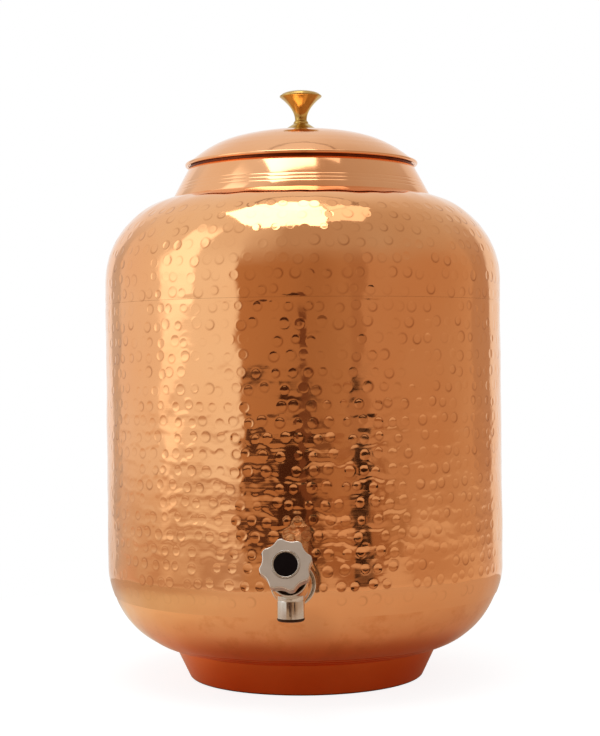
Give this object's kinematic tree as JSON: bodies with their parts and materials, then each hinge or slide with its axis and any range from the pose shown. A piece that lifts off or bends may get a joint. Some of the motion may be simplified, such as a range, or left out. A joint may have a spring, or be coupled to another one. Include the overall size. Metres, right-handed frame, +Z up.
{
  "type": "copper water dispenser",
  "caption": "Hammered copper drum on a tapered foot ring, with a lift-off domed lid and a chrome tap whose lobed knob screws the valve off its seat.",
  "frame": {"origin": "centre of the foot ring's resting face, on the drum's axis", "axes": "+Z up along the drum's axis, -Y towards the tap, +X to the right of someone facing the tap"},
  "size_m": [0.25, 0.3184, 0.3714],
  "materials": {
    "hammered_copper": "polished hammered copper with shallow round dents",
    "spun_copper": "smooth spun copper, polished",
    "turned_brass": "turned brass, polished",
    "tap_chrome": "bright chrome plate",
    "satin_chrome": "satin chrome plate",
    "steel": "plain steel",
    "rubber": "matte black rubber",
    "black_plastic": "plain gloss black"
  },
  "bodies": {
    "vessel": {"body_drum": "hammered_copper", "shoulder_shell": "hammered_copper", "base_bowl": "spun_copper", "neck_collar": "spun_copper", "foot_ring": "spun_copper", "tap_body": "tap_chrome", "spout_tube": "tap_chrome", "tap_flange": "tap_chrome", "outer_gasket": "rubber", "inner_gasket": "rubber", "inner_washer": "steel", "back_nut": "tap_chrome", "bonnet": "tap_chrome", "spindle_o_ring": "rubber"},
    "lid": {"lid_dome": "spun_copper", "lid_plug_ring": "spun_copper", "lid_knob": "turned_brass", "lid_screw": "steel", "lid_washer": "steel"},
    "valve": {"valve_jumper": "turned_brass", "seat_washer": "rubber"},
    "knob": {"spindle": "turned_brass", "tap_knob": "satin_chrome", "knob_bezel": "tap_chrome", "knob_cap": "black_plastic", "knob_screw": "steel"}
  },
  "joints": [
    {"name": "lid_lift", "type": "slide", "parent": "vessel", "child": "lid", "axis": [0, 0, 1], "range_m": [0, 0.12]},
    {"name": "valve_lift", "type": "slide", "parent": "vessel", "child": "valve", "axis": [0, -0.9272, 0.3746], "range_m": [0, 0.004]},
    {"name": "knob_turn", "type": "hinge", "parent": "valve", "child": "knob", "pos_m": [0, -0.142, 0.0739], "axis": [0, -0.9272, 0.3746], "range_deg": [0, 360]}
  ],
  "couplings": [
    {"joint": "knob_turn", "follows": "valve_lift", "rad_per_m": 1570.8}
  ]
}
